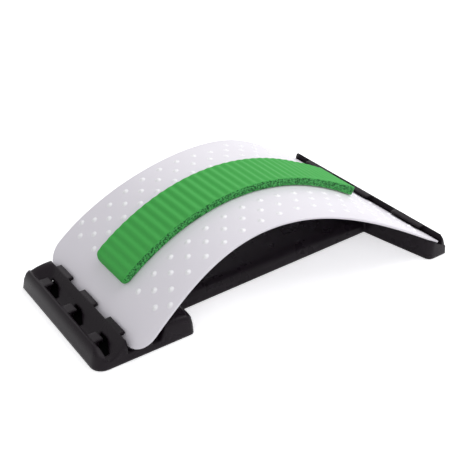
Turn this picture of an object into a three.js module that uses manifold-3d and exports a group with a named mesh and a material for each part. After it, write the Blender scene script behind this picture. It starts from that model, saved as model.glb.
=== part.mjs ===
// Arched back stretcher: a springy nubbed board bowed over a moulded base.
// Lengths in millimetres, +Z up, +X from the adjustable end to the fixed end.
import * as THREE from 'three';
import Module from 'manifold-3d';

const wasm = await Module();
wasm.setup();

// Whole product
const overallLength = 392;
const padProud = 1;
const fitGap = 0.3;
const endClearance = 0.4;

// Adjustable bar with three level grooves
const stepBarLength = 101.2;
const stepBarHalfWidth = 79.8;
const stepBarFlare = 1.2;
const stepNearCorner = 12;
const stepFarCorner = 3.2;
const stepInnerCorner = 5;
const stepCornerGrowth = 13;
const stepOuterDraw = 36;
const stepInnerDraw = 13;
const stepSideDraw = 20;
const stepCrownHeight = 24.4;
const grooveFloor = 8;
const ridgeHeight = 20.6;
const ridgeFaceX = 32.3;
const ridgePitch = 24.6;
const grooveLevels = 3;
const ridgeUndercut = 0.8;
const lipCrestX = 8.1;
const lipCrestHeight = 18.2;
const lipEdgeX = 10.5;
const lipEdgeHeight = 16.6;
const lipFootX = 12.5;
const lipEndRun = 19.8;
const lipEndHeight = 8;
const lastGrooveWidth = 7.9;
const lastGrooveFloor = 6.5;
const deckRampLength = 6.7;
const deckShoulderHeight = 19.6;
const deckCrestInset = 11.2;
const deckCrestHeight = 24.2;
const endWallRun = 21.8;
const endWallFull = 7;
const endWallHeight = 15.8;

// Hooks and the openings that form them
const hookEndMargin = 28.8;
const hookHalfWidth = 13;
const hookReach = 5.9;
const hookThickness = 3.3;
const hookTopDrop = 0.3;
const hookBevel = 1.1;
const lipHookHalfWidth = 6.3;
const lipHookReach = 9.4;
const lipHookTop = 16.5;
const lipHookThickness = 2.6;
const gussetReach = 6;
const gussetHalfWidth = 7.5;
const openingReach = 11.8;
const openingNear = 20;
const openingFar = 6.6;
const openingWaist = 5;
const hookOpeningReach = 6.6;
const hookOpeningMargin = 1;

// Spine joining the two bars
const spineStepHalfWidth = 44.9;
const spineFixedHalfWidth = 41.7;
const spineHeight = 15;
const spineShoulder = 11;
const spineWallHeight = 8;
const spineOverlap = 12;

// Fixed bar
const fixedHalfWidth = 122.6;
const fixedBarDepth = 48;
const fixedSweepShare = 0.225;
const fixedSweepRound = 30;
const fixedInnerCorner = 7;
const fixedOuterCorner = 3.5;
const fixedInnerDraft = 1.6;
const sideStepDown = 0.6;
const shelfEdgeHeight = 7.8;

// Rim and retaining tabs behind the fixed end of the board
const rimDepth = 8.1;
const rimHeight = 22.3;
const rimCrest = 0.7;
const rimShoulder = 2.3;
const rimShoulderDrop = 2.1;
const rimBulgeInset = 4.4;
const rimBulgeHeight = 18;
const rimBase = 8;
const rimBaseInset = 0.5;
const rimFoot = 3;
const rimEndInset = 1.8;
const rimEndRound = 13;
const rimEndShare = 0.42;
const tabReach = 8.6;
const tabThickness = 2.6;
const tabDrop = 0.2;
const tabBevel = 1.4;
const midTabHalfWidth = 14;
const sideTabNear = 51;
const sideTabFar = 94;

// Places that follow from those sizes
const half = 1 / 2;
const hookPitch = stepBarHalfWidth - hookEndMargin;
const lastRidgeX = ridgeFaceX + (grooveLevels - 2) * ridgePitch;
const grooveWallX = ridgeFaceX - ridgeUndercut + fitGap;
const fixedInnerX = overallLength - fixedBarDepth;
const seatEndX = overallLength - rimDepth;

// Board: a thin plastic sheet bent along X, its bend given as shares of its span
const boardThickness = 2.2;
const boardStartLift = 2.03;
const crestPlaceShare = 0.46903;
const crestDropShare = 0.22564;
const crestRadiusShare = 0.55563;
const bendSpanShare = 0.52346;
const bendFadeShare = 0.88;
const bendSkewShare = -0.243;
const stepReachShare = 0.53542;
const fixedReachShare = 0.58068;
const stepEndBow = 2.8;
const stepCornerRadius = 22;
const fixedCornerRadius = 5;
const boardSideMargin = 4;
// half widths from the adjustable end to the fixed end, evenly spaced
const boardWidthShares = [
  0.794, 0.794, 0.777, 0.753, 0.734, 0.726, 0.736, 0.766,
  0.813, 0.875, 0.936, 0.98, 0.997, 1.002, 1,
];
const boardStartX = grooveWallX + endClearance;
const boardSpan = seatEndX - endClearance - boardStartX;
const boardEndHalfWidth = fixedHalfWidth - boardSideMargin;
const crestX = boardStartX + boardSpan * crestPlaceShare;
const crestHeight = grooveFloor + boardStartLift + boardSpan * crestDropShare;
const crestRadius = boardSpan * crestRadiusShare;
const bendSpan = boardSpan * bendSpanShare;
const boardStepReach = boardSpan * stepReachShare;
const boardFixedReach = boardSpan * fixedReachShare;

// Nubs: small domes in staggered rows
const nubPitch = 21.28;
const nubPhaseShare = 0.223;
const nubRowPitch = 14.8;
const firstNubRow = 13.6;
const nubRadius = 2.3;
const nubHeight = 1.2;
const nubEdgeMargin = 9;
const nubStepMargin = 38;
const cornerNubMargin = 7.5;
const nubSides = 6;
const nubWaistShare = 0.86;
const nubTopShare = 0.45;

// Foam strip glued along the middle of the board
const foamHalfWidth = 27.1;
const foamThickness = 9.4;
const foamStepMargin = 39.6;
const foamFixedMargin = 53;
const foamRibPitch = 9.15;
const foamGrooveDepth = 1.3;
const foamEndRound = 7;
const tapeThickness = 0.6;
const tapeInset = 2;

// Shell, stiffening ribs and feet
const shellWall = 2.4;
const ribThickness = 2;
const ribRecess = 1;
const stepRibInset = 12.3;
const stepRibShift = 3.5;
const spineRibOffset = 18;
const spineRibCount = 6;
const fixedRibInset = 22.7;
const fixedRibCount = 3;
const padRadius = 8;
const padThickness = 2.4;
const padMargin = 2.2;
const padSideGap = 0.15;
const stepPadInset = 20.2;
const stepPadMargin = 15.8;
const fixedPadInset = 21;
const fixedPadMargin = 18.6;

// Fineness of the curves
const arcSegments = 6;
const rampSegments = 9;
const bendSteps = 64;
const searchSteps = 40;
const boardSegments = 46;
const foamRibSegments = 6;
const wrapSegments = 6;
const roundSegments = 28;
const sweepSegments = 8;
const weldShare = 1e-6;
const beyond = overallLength;

// Heading of the board's top surface at the distance s from its crest
function heading(s) {
  const third = s ** 3 / (3 * bendSpan ** 2);
  return (s + bendSkewShare * s * s * half / bendSpan - bendFadeShare * third) / crestRadius;
}

// Point at the distance s along the arch and the height off its top surface
function archPoint(s, off) {
  let x = crestX;
  let z = crestHeight;
  for (let i = 0; i < bendSteps; i += 1) {
    const middle = heading(s * (i + half) / bendSteps);
    x += Math.cos(middle) * s / bendSteps;
    z -= Math.sin(middle) * s / bendSteps;
  }
  return [x + off * Math.sin(heading(s)), z + off * Math.cos(heading(s))];
}

// Half width of the board before its corners are rounded
function plainHalfWidth(s) {
  const last = boardWidthShares.length - 1;
  const at = last * Math.max(s + boardStepReach, 0) / (boardStepReach + boardFixedReach);
  const i = Math.min(Math.floor(at), last - 1);
  const t = Math.min(at - i, 1);
  const before = boardWidthShares[Math.max(i - 1, 0)];
  const from = boardWidthShares[i];
  const to = boardWidthShares[i + 1];
  const after = boardWidthShares[Math.min(i + 2, last)];
  const slope = (to - before) * half;
  const nextSlope = (after - from) * half;
  const cubic = 2 * (from - to) + slope + nextSlope;
  const square = 3 * (to - from) - 2 * slope - nextSlope;
  return boardEndHalfWidth * (((cubic * t + square) * t + slope) * t + from);
}

// Height of the board's underside over the place x near its fixed end
function undersideAt(x) {
  let low = 0;
  let high = 2 * boardFixedReach;
  for (let i = 0; i < searchSteps; i += 1) {
    const middle = (low + high) * half;
    if (archPoint(middle, -boardThickness - fitGap)[0] < x) low = middle;
    else high = middle;
  }
  return archPoint(low, -boardThickness - fitGap)[1];
}

// Solids

function toManifold(geometry) {
  const source = geometry.index ? geometry.toNonIndexed() : geometry;
  const raw = source.getAttribute('position').array;
  const keys = new Map();
  const weld = overallLength * weldShare;
  const corners = [];
  const triangles = [];
  for (let i = 0; i < raw.length; i += 3) {
    const key = [raw[i], raw[i + 1], raw[i + 2]].map((v) => Math.round(v / weld)).join();
    if (!keys.has(key)) {
      keys.set(key, corners.length / 3);
      corners.push(raw[i], raw[i + 1], raw[i + 2]);
    }
    triangles.push(keys.get(key));
  }
  const kept = [];
  for (let i = 0; i < triangles.length; i += 3) {
    const [a, b, c] = triangles.slice(i, i + 3);
    if (a !== b && b !== c && c !== a) kept.push(a, b, c);
  }
  const mesh = new wasm.Mesh({
    numProp: 3,
    vertProperties: new Float32Array(corners),
    triVerts: new Uint32Array(kept),
  });
  return new wasm.Manifold(mesh);
}

function geometryOf(corners, triangles) {
  const geometry = new THREE.BufferGeometry();
  geometry.setAttribute('position', new THREE.Float32BufferAttribute(corners.flat(), 3));
  geometry.setIndex(triangles);
  return geometry;
}

// Closed solid through rings with equal numbers of points, flat at both ends
function loft(rings) {
  const count = rings[0].length;
  const triangles = [];
  for (let r = 0; r + 1 < rings.length; r += 1) {
    for (let i = 0; i < count; i += 1) {
      const j = (i + 1) % count;
      const [low, high] = [r * count, (r + 1) * count];
      triangles.push(low + i, low + j, high + j, low + i, high + j, high + i);
    }
  }
  const cap = (ring, base, flip) => {
    for (const [a, b, c] of capTriangles(ring)) {
      triangles.push(base + a, base + (flip ? c : b), base + (flip ? b : c));
    }
  };
  cap(rings[0], 0, true);
  cap(rings[rings.length - 1], (rings.length - 1) * count, false);
  const solid = toManifold(geometryOf(rings.flat(), triangles));
  return solid.volume() > 0 ? solid : toManifold(geometryOf(rings.flat(), triangles.reverse()));
}

// Triangles over a flat ring, laid out in the plane the ring lies in
function capTriangles(ring) {
  const points = ring.map((p) => new THREE.Vector3(...p));
  const normal = new THREE.Vector3();
  points.forEach((p, i) => {
    const q = points[(i + 1) % points.length];
    normal.add(new THREE.Vector3().crossVectors(p, q));
  });
  normal.normalize();
  const along = points[1].clone().sub(points[0]).projectOnPlane(normal).normalize();
  const across = new THREE.Vector3().crossVectors(normal, along);
  const flat = points.map((p) => new THREE.Vector2(p.dot(along), p.dot(across)));
  return THREE.ShapeUtils.triangulateShape(flat, []);
}

// Upright plate: an outline in X and Z carried across from one y to another
function acrossY(outline, fromY, toY) {
  return loft([fromY, toY].map((y) => outline.map(([x, z]) => [x, y, z])));
}

// Block standing on a plan outline
function upright(outline, fromZ, toZ) {
  return loft([fromZ, toZ].map((z) => outline.map(([x, y]) => [x, y, z])));
}

function block(x0, x1, y0, y1, z0, z1) {
  return upright([[x0, y0], [x1, y0], [x1, y1], [x0, y1]], z0, z1);
}

function join(solids) {
  return solids.reduce((sum, solid) => sum.add(solid));
}

function cut(solid, tools) {
  return tools.reduce((rest, tool) => rest.subtract(tool), solid);
}

function meshOf(solid, name, colour, roughness) {
  const { vertProperties, triVerts } = solid.getMesh();
  const geometry = new THREE.BufferGeometry();
  geometry.setAttribute('position', new THREE.Float32BufferAttribute(vertProperties, 3));
  geometry.setIndex(Array.from(triVerts));
  geometry.computeVertexNormals();
  const material = new THREE.MeshStandardMaterial({ color: colour, roughness, metalness: 0 });
  const mesh = new THREE.Mesh(geometry, material);
  mesh.name = name;
  return mesh;
}

// Plan outline of the adjustable bar, its sides spreading a little towards +X
function barPlan(x0, x1, halfWidth, farRadius, nearRadius, innerRadius) {
  const points = [];
  const corner = (cx, cy, radius, turn) => {
    for (let i = 0; i <= arcSegments; i += 1) {
      const angle = (turn + i / arcSegments) * Math.PI * half;
      points.push([cx + radius * Math.cos(angle), cy + radius * Math.sin(angle)]);
    }
  };
  const innerY = halfWidth + stepBarFlare - innerRadius;
  corner(x1 - innerRadius, innerY, innerRadius, 0);
  corner(x0 + farRadius, halfWidth - farRadius, farRadius, 1);
  corner(x0 + nearRadius, nearRadius - halfWidth, nearRadius, 2);
  corner(x1 - innerRadius, -innerY, innerRadius, 3);
  return points;
}

// Adjustable bar

// how far its walls have come in at some heights, as shares of the height and the draws:
// height, outer face, inner face, sides, growth of the inner corners
const stepDraftShares = [
  [0, 0, 0, 0, 0],
  [0.41, 0.058, 0.04, 0.03, 0],
  [0.65, 0.128, 0.085, 0.08, 0.06],
  [0.75, 0.2, 0.17, 0.12, 0.1],
  [0.82, 0.278, 0.246, 0.17, 0.18],
  [0.869, 0.361, 0.338, 0.23, 0.3],
  [0.926, 0.5, 0.5, 0.45, 0.54],
  [0.967, 0.722, 0.73, 0.65, 0.77],
  [1, 1, 1, 1, 1],
];

function stepBarRings(wall) {
  return stepDraftShares.map(([rise, outer, inner, side, growth]) => {
    const plan = barPlan(
      stepOuterDraw * outer + wall,
      stepBarLength - stepInnerDraw * inner - wall,
      stepBarHalfWidth - stepSideDraw * side - wall,
      stepFarCorner - wall * half,
      stepNearCorner - wall,
      stepInnerCorner + stepCornerGrowth * growth - wall,
    );
    return plan.map(([x, y]) => [x, y, rise && stepCrownHeight * rise - wall]);
  });
}

function stepBarBlank() {
  const rings = stepBarRings(0);
  const below = rings[0].map(([x, y]) => [x, y, -ridgeHeight]);
  const forms = acrossY(stepBarProfile(), -beyond, beyond).add(endWall());
  return loft([below, ...rings]).intersect(forms);
}

// Height of the concave ramp that starts at a groove's foot
function rampHeight(share) {
  return grooveFloor + (ridgeHeight - grooveFloor) * share * share;
}

function ramp(fromX, toX) {
  const points = [];
  for (let i = 0; i <= rampSegments; i += 1) {
    const share = i / rampSegments;
    points.push([fromX + (toX - fromX) * share, rampHeight(share)]);
  }
  return points;
}

// Saw-toothed outline in X and Z: lip, grooves with steep faces, sloping deck
function stepBarProfile() {
  const outline = [[-beyond, -ridgeHeight], [-beyond, lipEdgeHeight], [0, lipCrestHeight]];
  outline.push([lipCrestX, lipCrestHeight], [lipEdgeX, lipEdgeHeight]);
  let footX = lipFootX;
  for (let level = 0; level + 1 < grooveLevels; level += 1) {
    const faceX = ridgeFaceX + level * ridgePitch;
    outline.push(...ramp(footX, faceX - ridgeUndercut));
    outline.push([faceX, ridgeHeight - hookTopDrop]);
    footX = faceX - ridgeUndercut + fitGap;
  }
  const deckFootX = lastRidgeX + lastGrooveWidth;
  const shoulderX = deckFootX + deckRampLength;
  const crownX = stepBarLength - deckCrestInset;
  const middle = [(shoulderX + crownX) * half, (deckShoulderHeight + 2 * deckCrestHeight) / 3];
  outline.push([footX, grooveFloor], [footX + ridgeUndercut, lastGrooveFloor]);
  outline.push([deckFootX, lastGrooveFloor]);
  outline.push([shoulderX - ridgeUndercut, deckShoulderHeight - ridgeUndercut]);
  outline.push([shoulderX, deckShoulderHeight], middle, [crownX, deckCrestHeight]);
  outline.push([beyond, deckCrestHeight], [beyond, -ridgeHeight]);
  return outline;
}

// The first groove's far end is closed: there its ramp swells up to a bulging wall
function endWall() {
  const rings = [];
  const fromY = stepBarHalfWidth - endWallRun;
  const reach = endWallRun - endWallFull;
  for (let i = 0; i <= wrapSegments + 1; i += 1) {
    const y = i > wrapSegments ? stepBarHalfWidth + stepBarFlare : fromY + reach * i / wrapSegments;
    const t = Math.min(i / wrapSegments, 1);
    rings.push(endWallRing(y, t * t * (3 - 2 * t)));
  }
  return loft(rings);
}

function endWallRing(y, swell) {
  const lowest = grooveFloor - shellWall;
  const toX = ridgeFaceX - ridgeUndercut;
  const ring = [[lipEdgeX, y, lowest]];
  for (let i = 0; i <= rampSegments; i += 1) {
    const share = i / rampSegments;
    const x = lipEdgeX + (toX - lipEdgeX) * share;
    const under = rampHeight(Math.max(x - lipFootX, 0) / (toX - lipFootX)) - fitGap;
    const wallTop = ridgeHeight - (ridgeHeight - endWallHeight) * (1 - share) * (1 - share);
    ring.push([x, y, under + (wallTop - under) * swell]);
  }
  ring.push([toX, y, lowest]);
  return ring;
}

// The lip's near end sinks in a curve towards the corner of the bar
function lipEndCutter() {
  const fromY = stepBarHalfWidth - lipEndRun;
  const drop = lipCrestHeight - lipEndHeight;
  const curve = [];
  for (let i = 0; i <= arcSegments; i += 1) {
    const t = i / arcSegments;
    curve.push([-fromY - lipEndRun * t, lipCrestHeight - drop * t * t]);
  }
  curve.push([-beyond, lipEndHeight], [-beyond, beyond], [-fromY, beyond]);
  return loft([-beyond, lipFootX].map((x) => curve.map(([y, z]) => [x, y, z])));
}

// Hooks over the first groove, each on a small gusset
function lipHook(centre) {
  const low = lipHookTop - lipHookThickness;
  const tip = lipEdgeX + lipHookReach;
  const outline = [
    [lipCrestX, low],
    [tip - hookBevel, low],
    [tip, low + hookBevel],
    [tip - hookBevel * half, lipHookTop],
    [lipCrestX, lipHookTop],
  ];
  const gusset = [
    [lipEdgeX, centre - gussetHalfWidth],
    [lipFootX, centre - gussetHalfWidth],
    [lipFootX + gussetReach, centre],
    [lipFootX, centre + gussetHalfWidth],
    [lipEdgeX, centre + gussetHalfWidth],
  ];
  return [
    acrossY(outline, centre - lipHookHalfWidth, centre + lipHookHalfWidth),
    upright(gusset, grooveFloor - shellWall, low),
  ];
}

function lipOpening(centre) {
  const plan = [
    [lipFootX, centre - openingNear],
    [lipFootX + openingWaist, centre - openingNear],
    [lipFootX + openingReach, centre - openingWaist],
    [lipFootX + openingReach, centre + openingFar],
    [lipFootX, centre + openingFar],
  ];
  return upright(plan, -beyond, beyond);
}

// Hooks reaching over the end of the board, their tops level with the ridge
function ridgeHook(faceX, centre) {
  const top = ridgeHeight - hookTopDrop;
  const low = top - hookThickness;
  const tip = faceX + hookReach;
  const root = faceX - 2 * ridgeUndercut;
  const outline = [
    [root, low],
    [tip - hookBevel, low],
    [tip, low + hookBevel],
    [tip - hookBevel * half, top],
    [faceX - ridgeUndercut, top],
    [root, top - hookBevel],
  ];
  return acrossY(outline, centre - hookHalfWidth, centre + hookHalfWidth);
}

function ridgeOpening(faceX, centre) {
  const span = hookHalfWidth + hookOpeningMargin;
  const top = ridgeHeight - hookTopDrop - hookThickness;
  const fromX = faceX + fitGap;
  return block(fromX, faceX + hookOpeningReach, centre - span, centre + span, -beyond, top);
}

// Spine

// height and inset of the spine's rounded shoulder
function spineRings() {
  const rings = [[-ridgeHeight, 0], [0, 0], [spineWallHeight, sideStepDown]];
  for (let i = 1; i <= arcSegments; i += 1) {
    const angle = (i / arcSegments) * Math.PI * half;
    rings.push([
      spineWallHeight + (spineHeight - spineWallHeight) * Math.sin(angle),
      sideStepDown + (spineShoulder - sideStepDown) * (1 - Math.cos(angle)),
    ]);
  }
  return rings;
}

function spineBlank() {
  const startX = stepBarLength - shellWall;
  const endX = fixedInnerX + spineOverlap;
  return loft(spineRings().map(([z, inset]) => [
    [startX, inset - spineStepHalfWidth, z],
    [endX, inset - spineFixedHalfWidth, z],
    [endX, spineFixedHalfWidth - inset, z],
    [startX, spineStepHalfWidth - inset, z],
  ]));
}

// Fixed bar

// Plan outline with the swept inner edge, drawn inwards by the two insets
function fixedPlan(inset, innerInset) {
  const width = fixedHalfWidth - inset;
  const bend = (y) => Math.hypot(y, fixedSweepRound) - fixedSweepRound;
  const sweep = (y) => fixedInnerX + innerInset + fixedSweepShare * bend(y);
  const points = [];
  const outerX = overallLength - inset;
  const arc = (cx, cy, radius, from, to) => {
    for (let i = 0; i <= arcSegments; i += 1) {
      const angle = (from + (to - from) * i / arcSegments) * Math.PI * half;
      points.push([cx + radius * Math.cos(angle), cy + radius * Math.sin(angle)]);
    }
  };
  const cornerY = width - fixedInnerCorner;
  const cornerX = sweep(cornerY) + fixedInnerCorner;
  arc(outerX - fixedOuterCorner, fixedOuterCorner - width, fixedOuterCorner, -1, 0);
  arc(outerX - fixedOuterCorner, width - fixedOuterCorner, fixedOuterCorner, 0, 1);
  arc(cornerX, cornerY, fixedInnerCorner, 1, 2);
  for (let i = 1; i < 2 * sweepSegments; i += 1) {
    const y = cornerY * (1 - i / sweepSegments);
    points.push([sweep(y), y]);
  }
  arc(cornerX, -cornerY, fixedInnerCorner, 2, 3);
  return points;
}

// The seat follows the board's underside, then runs on down to the outer edge
function seatOutline() {
  const outline = [];
  for (let i = 0; i <= sweepSegments; i += 1) {
    const x = fixedInnerX + (seatEndX - fixedInnerX) * i / sweepSegments;
    outline.push([x, undersideAt(x)]);
  }
  const backX = fixedInnerX - spineHeight;
  outline.push([overallLength - rimBaseInset, shelfEdgeHeight]);
  outline.push([overallLength + beyond, shelfEdgeHeight], [overallLength + beyond, -ridgeHeight]);
  outline.push([backX, -ridgeHeight], [backX, undersideAt(fixedInnerX)]);
  return outline;
}

function fixedBarBlank() {
  const top = undersideAt(fixedInnerX);
  const levels = [
    [-ridgeHeight, 0, 0],
    [0, 0, 0],
    [shelfEdgeHeight, sideStepDown, sideStepDown],
    [top, fixedInnerDraft, fixedInnerDraft],
  ];
  const body = loft(levels.map(([z, inset, innerInset]) => (
    fixedPlan(inset, innerInset).map(([x, y]) => [x, y, z])
  )));
  return body.intersect(acrossY(seatOutline(), -beyond, beyond)).add(rim());
}

// Rim behind the board's end; its two ends fall in a curve to the shelf
function rim() {
  const reach = fixedHalfWidth - rimEndInset;
  const stations = [];
  for (let i = 0; i <= wrapSegments; i += 1) {
    const angle = (i / wrapSegments) * Math.PI * half;
    const y = reach - rimEndRound * (1 - Math.cos(angle));
    stations.push([y, rimEndShare + (1 - rimEndShare) * Math.sin(angle)]);
  }
  const far = stations.map(([y, rise]) => rimRing(y, rise));
  const near = stations.map(([y, rise]) => rimRing(-y, rise)).reverse();
  return loft([...far, ...near]);
}

// Outline of the rim in X and Z at one place across, as high as the rise says
function rimRing(y, rise) {
  const over = Math.max(Math.abs(y) - (fixedHalfWidth - fixedOuterCorner), 0);
  const round = fixedOuterCorner - Math.sqrt(fixedOuterCorner ** 2 - over ** 2);
  const outerX = overallLength - rimBaseInset - round;
  const level = (z) => rimFoot + (z - rimFoot) * rise;
  return [
    [seatEndX, y, rimFoot],
    [seatEndX, y, level(rimHeight - tabDrop)],
    [seatEndX + rimCrest, y, level(rimHeight)],
    [seatEndX + rimShoulder, y, level(rimHeight - rimShoulderDrop)],
    [overallLength - rimBulgeInset, y, level(rimBulgeHeight)],
    [outerX, y, level(rimBase)],
    [outerX, y, rimFoot],
  ];
}

// Tabs holding the board's end down
function rimTab(fromY, toY) {
  const top = rimHeight - tabDrop;
  const low = top - tabThickness;
  const tip = seatEndX - tabReach;
  const root = seatEndX + rimCrest;
  const edge = tip + hookBevel;
  const plan = [
    [tip, fromY + tabBevel],
    [seatEndX - fitGap, fromY],
    [root, fromY],
    [root, toY],
    [seatEndX - fitGap, toY],
    [tip, toY - tabBevel],
  ];
  const side = [
    [tip, low + hookBevel],
    [edge, low],
    [root, low],
    [root, top],
    [edge, top],
    [tip, top - hookBevel * half],
  ];
  return upright(plan, low, top).intersect(acrossY(side, fromY, toY));
}

// Room left inside an upright outline once its walls keep the shell thickness
function lowered(outline) {
  const shifts = [[0, 0], [shellWall, 0], [-shellWall, 0], [0, -shellWall]];
  const copies = shifts.map(([dx, dz]) => {
    const shifted = outline.map(([x, z]) => [x + dx, z + dz]);
    return acrossY(shifted, -fixedHalfWidth, fixedHalfWidth);
  });
  return copies.reduce((core, copy) => core.intersect(copy));
}

function stepBarHollow() {
  const rings = stepBarRings(shellWall).filter((_, i) => i % 2 === 0);
  const below = rings[0].map(([x, y]) => [x, y, -spineHeight]);
  return loft([below, ...rings]).intersect(lowered(stepBarProfile()));
}

function spineHollow() {
  return loft(spineRings().map(([z, inset]) => {
    const level = z > 0 ? z - shellWall : z;
    const stepY = spineStepHalfWidth - inset - shellWall;
    const fixedY = spineFixedHalfWidth - inset - shellWall;
    return [
      [stepBarLength, -stepY, level],
      [fixedInnerX, -fixedY, level],
      [fixedInnerX, fixedY, level],
      [stepBarLength, stepY, level],
    ];
  }));
}

function fixedBarHollow() {
  const plan = (extra) => fixedPlan(shellWall + extra, shellWall + extra);
  const rings = [[-spineHeight, 0], [0, 0], [undersideAt(fixedInnerX), fixedInnerDraft]];
  const room = loft(rings.map(([z, extra]) => plan(extra).map(([x, y]) => [x, y, z])));
  return room.intersect(lowered(seatOutline()));
}

function padSpots() {
  const stepX = stepBarLength - stepPadInset;
  const stepY = stepBarHalfWidth - stepPadMargin;
  const fixedX = overallLength - fixedPadInset;
  const fixedY = fixedHalfWidth - fixedPadMargin;
  return [[stepX, -stepY], [stepX, stepY], [fixedX, -fixedY], [fixedX, fixedY]];
}

function disc(x, y, radius, fromZ, toZ) {
  const plan = [];
  for (let i = 0; i < roundSegments; i += 1) {
    const angle = i * 2 * Math.PI / roundSegments;
    plan.push([x + radius * Math.cos(angle), y + radius * Math.sin(angle)]);
  }
  return upright(plan, fromZ, toZ);
}

// Stiffening ribs that divide the hollow underside, and the bosses over the feet
function stiffeners() {
  const w = ribThickness * half;
  const alongY = (x, reach) => block(x - w, x + w, -reach, reach, ribRecess, beyond);
  const alongX = (y, x0, x1) => block(x0, x1, y - w, y + w, ribRecess, beyond);
  const ribs = [];
  for (let level = 0; level < grooveLevels; level += 1) {
    ribs.push(alongY(ridgeFaceX + stepRibInset + level * ridgePitch, stepBarHalfWidth));
  }
  for (let i = -1; i <= 1; i += 1) {
    ribs.push(alongX((i + half) * hookPitch - stepRibShift, 0, stepBarLength));
  }
  const bay = (fixedInnerX - stepBarLength) / (spineRibCount + 1);
  for (let i = 1; i <= spineRibCount; i += 1) {
    ribs.push(alongY(stepBarLength + i * bay, spineStepHalfWidth));
  }
  ribs.push(alongX(spineRibOffset, stepBarLength, fixedInnerX));
  ribs.push(alongX(-spineRibOffset, stepBarLength, fixedInnerX));
  ribs.push(alongY(overallLength - fixedRibInset, fixedHalfWidth));
  const fixedRibPitch = fixedHalfWidth / (fixedRibCount + 1);
  for (let i = -fixedRibCount; i < fixedRibCount; i += 1) {
    ribs.push(alongX((i + half) * fixedRibPitch, fixedInnerX, overallLength));
  }
  padSpots().forEach(([x, y]) => ribs.push(disc(x, y, padRadius + padMargin, 0, beyond)));
  return ribs;
}

function baseFrame() {
  const levels = Array.from({ length: grooveLevels - 1 }, (_, i) => ridgeFaceX + i * ridgePitch);
  const hookCentres = [-hookPitch, 0, hookPitch];
  const blank = join([cut(stepBarBlank(), [lipEndCutter()]), spineBlank(), fixedBarBlank()]);
  const floor = block(-beyond, 2 * beyond, -beyond, beyond, -beyond, 0);
  const hollows = [stepBarHollow(), spineHollow(), fixedBarHollow()];
  const inside = cut(join(hollows), stiffeners());
  const openings = [
    ...hookCentres.map((y) => lipOpening(y)),
    ...levels.flatMap((x) => hookCentres.map((y) => ridgeOpening(x, y))),
  ];
  const hooks = [
    ...hookCentres.flatMap((y) => lipHook(y)),
    ...levels.flatMap((x) => hookCentres.map((y) => ridgeHook(x, y))),
    rimTab(-midTabHalfWidth, midTabHalfWidth),
    rimTab(sideTabNear, sideTabFar),
    rimTab(-sideTabFar, -sideTabNear),
  ];
  const recesses = padSpots().map(([x, y]) => (
    disc(x, y, padRadius + padSideGap, -beyond, padThickness - padProud)
  ));
  const shell = cut(blank, [inside, ...openings, floor]);
  return cut(join([shell, ...hooks.map((hook) => hook.subtract(inside))]), recesses);
}

// Board

// Ring of the board at the distance s: top row then underside row
function boardRing(s, halfWidth) {
  const [tx, tz] = archPoint(s, 0);
  const [bx, bz] = archPoint(s, -boardThickness);
  return [
    [tx, -halfWidth, tz],
    [tx, -halfWidth * half, tz],
    [tx, 0, tz],
    [tx, halfWidth * half, tz],
    [tx, halfWidth, tz],
    [bx, halfWidth, bz],
    [bx, halfWidth * half, bz],
    [bx, 0, bz],
    [bx, -halfWidth * half, bz],
    [bx, -halfWidth, bz],
  ];
}

// Half width with the rounded corners taken off
function boardHalfWidth(s) {
  const plain = plainHalfWidth(s);
  const corner = (into, radius) => {
    if (into >= radius) return 0;
    return radius - Math.sqrt(Math.max(radius ** 2 - (radius - into) ** 2, 0));
  };
  const stepCorner = corner(s + boardStepReach - stepEndBow, stepCornerRadius);
  const fixedCorner = corner(boardFixedReach - s, fixedCornerRadius);
  if (s < stepEndBow - boardStepReach) {
    const share = Math.max(s + boardStepReach, 0) / stepEndBow;
    const blunt = boardThickness / stepCornerRadius;
    return (plain - stepCornerRadius) * (blunt + (1 - blunt) * Math.sqrt(share));
  }
  return plain - stepCorner - fixedCorner;
}

// Distances along the board, closer together round the corners
function boardStations() {
  const stations = [];
  const low = stepEndBow - boardStepReach;
  for (let i = 0; i < arcSegments; i += 1) {
    stations.push(-boardStepReach + stepEndBow * (i / arcSegments) ** 2);
  }
  for (let i = 0; i < arcSegments * 2; i += 1) {
    stations.push(low + stepCornerRadius * (1 - Math.cos(Math.PI * half * i / (2 * arcSegments))));
  }
  const from = low + stepCornerRadius;
  const to = boardFixedReach - fixedCornerRadius;
  for (let i = 0; i < boardSegments; i += 1) {
    stations.push(from + (to - from) * i / boardSegments);
  }
  for (let i = 0; i <= arcSegments; i += 1) {
    stations.push(to + fixedCornerRadius * Math.sin(Math.PI * half * i / arcSegments));
  }
  return stations;
}

// Nubs: rows run along the arch, every other row half a pitch on
function nubPlaces() {
  const places = [];
  const rows = Math.floor(fixedHalfWidth / nubRowPitch);
  const reach = Math.ceil(boardFixedReach / nubPitch);
  const firstS = nubStepMargin - boardStepReach;
  const lastS = boardFixedReach - fixedCornerRadius - nubEdgeMargin;
  for (let row = 0; row < rows; row += 1) {
    const y = firstNubRow + row * nubRowPitch;
    for (let i = -reach; i <= reach; i += 1) {
      const s = (i + nubPhaseShare + (row % 2) * half) * nubPitch;
      const clear = s > firstS && s < lastS && y < boardHalfWidth(s) - nubEdgeMargin;
      const bare = y > foamHalfWidth + nubRowPitch * half || s > foamEnd() + nubRadius;
      if (clear && bare) places.push([s, y], [s, -y]);
    }
  }
  const cornerS = (Math.ceil(firstS / nubPitch) + half + nubPhaseShare) * nubPitch;
  const cornerY = boardHalfWidth(cornerS) - cornerNubMargin;
  places.push([cornerS, cornerY], [cornerS, -cornerY]);
  return places;
}

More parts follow.
